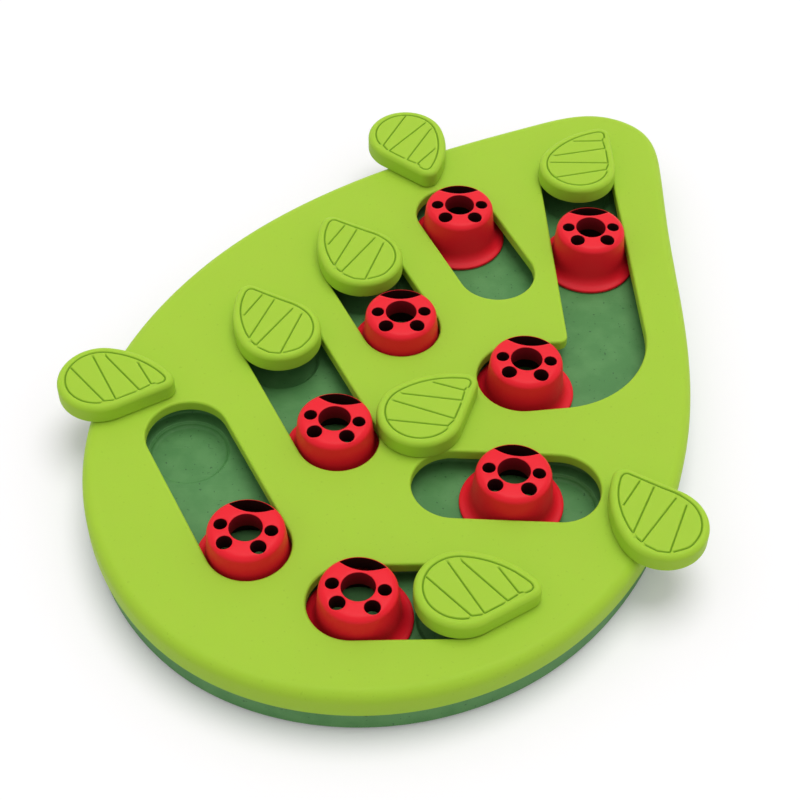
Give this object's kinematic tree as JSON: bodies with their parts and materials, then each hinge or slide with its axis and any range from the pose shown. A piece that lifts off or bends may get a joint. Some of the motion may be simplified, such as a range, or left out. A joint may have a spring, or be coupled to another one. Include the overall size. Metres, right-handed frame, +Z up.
{
  "type": "cat puzzle feeder",
  "caption": "Cat puzzle feeder: green board with tracks, red hollow bug sliders and leaf lids on pivots.",
  "frame": {"origin": "centre of the bounding box in plan, on the surface the feet rest on", "axes": "+Y towards the narrow end of the board away from the viewer, +X to the viewer's right, +Z up"},
  "size_m": [0.2503, 0.3154, 0.032],
  "materials": {
    "dark_green": "satin",
    "light_green": "satin",
    "leaf_green": "satin",
    "red": "satin",
    "steel": "satin",
    "rubber": "matte"
  },
  "bodies": {
    "board": {"base_tray": "dark_green", "cover": "light_green", "feet": "rubber", "cover_screws": "steel"},
    "bug_1": {"bug_1": "red"},
    "bug_2": {"bug_2": "red"},
    "bug_3": {"bug_3": "red"},
    "bug_4": {"bug_4": "red"},
    "bug_5": {"bug_5": "red"},
    "bug_6": {"bug_6": "red"},
    "bug_7": {"bug_7": "red"},
    "bug_8": {"bug_8": "red"},
    "leaf_1": {"leaf_1": "leaf_green", "leaf_screw_1": "steel"},
    "leaf_2": {"leaf_2": "leaf_green", "leaf_screw_2": "steel"},
    "leaf_3": {"leaf_3": "leaf_green", "leaf_screw_3": "steel"},
    "leaf_4": {"leaf_4": "leaf_green", "leaf_screw_4": "steel"},
    "leaf_5": {"leaf_5": "leaf_green", "leaf_screw_5": "steel"},
    "leaf_6": {"leaf_6": "leaf_green", "leaf_screw_6": "steel"},
    "leaf_7": {"leaf_7": "leaf_green", "leaf_screw_7": "steel"},
    "leaf_8": {"leaf_8": "leaf_green", "leaf_screw_8": "steel"}
  },
  "joints": [
    {"name": "bug_1_slide", "type": "slide", "parent": "board", "child": "bug_1", "axis": [-0.4363, 0.8998, 0], "range_m": [-0.0352, 0.0051]},
    {"name": "bug_2_slide", "type": "slide", "parent": "board", "child": "bug_2", "axis": [-0.0746, 0.9972, 0], "range_m": [-0.0175, 0.009]},
    {"name": "bug_3_slide", "type": "slide", "parent": "board", "child": "bug_3", "axis": [-0.994, -0.1097, 0], "range_m": [-0.012, 0]},
    {"name": "bug_4_slide", "type": "slide", "parent": "board", "child": "bug_4", "axis": [-0.4429, 0.8966, 0], "range_m": [0, 0.0048]},
    {"name": "bug_5_slide", "type": "slide", "parent": "board", "child": "bug_5", "axis": [-0.4444, 0.8958, 0], "range_m": [0, 0.0215]},
    {"name": "bug_6_slide", "type": "slide", "parent": "board", "child": "bug_6", "axis": [-0.458, 0.889, 0], "range_m": [-0.001, 0.058]},
    {"name": "bug_7_slide", "type": "slide", "parent": "board", "child": "bug_7", "axis": [-0.9995, 0.0303, 0], "range_m": [-0.0172, 0.019]},
    {"name": "bug_8_slide", "type": "slide", "parent": "board", "child": "bug_8", "axis": [0.9993, 0.0361, 0], "range_m": [-0.0027, 0.0029]},
    {"name": "leaf_1_turn", "type": "hinge", "parent": "board", "child": "leaf_1", "pos_m": [0.0187, 0.10841, 0.0233], "axis": [0, 0, 1], "range_deg": [-97, 60]},
    {"name": "leaf_2_turn", "type": "hinge", "parent": "board", "child": "leaf_2", "pos_m": [0.0957, 0.13278, 0.0233], "axis": [0, 0, 1], "range_deg": [0, 150]},
    {"name": "leaf_3_turn", "type": "hinge", "parent": "board", "child": "leaf_3", "pos_m": [-0.02165, 0.07134, 0.0233], "axis": [0, 0, -1], "range_deg": [0, 150]},
    {"name": "leaf_4_turn", "type": "hinge", "parent": "board", "child": "leaf_4", "pos_m": [-0.05388, 0.02899, 0.0233], "axis": [0, 0, -1], "range_deg": [0, 150]},
    {"name": "leaf_5_turn", "type": "hinge", "parent": "board", "child": "leaf_5", "pos_m": [-0.08467, -0.01931, 0.0233], "axis": [0, 0, -1], "range_deg": [-117.8, 60]},
    {"name": "leaf_6_turn", "type": "hinge", "parent": "board", "child": "leaf_6", "pos_m": [0.03388, -0.01843, 0.0233], "axis": [0, 0, -1], "range_deg": [-33, 0]},
    {"name": "leaf_7_turn", "type": "hinge", "parent": "board", "child": "leaf_7", "pos_m": [0.09238, -0.06534, 0.0233], "axis": [0, 0, -1], "range_deg": [-50, 69]},
    {"name": "leaf_8_turn", "type": "hinge", "parent": "board", "child": "leaf_8", "pos_m": [0.05468, -0.11531, 0.0233], "axis": [0, 0, 1], "range_deg": [0, 150]}
  ]
}
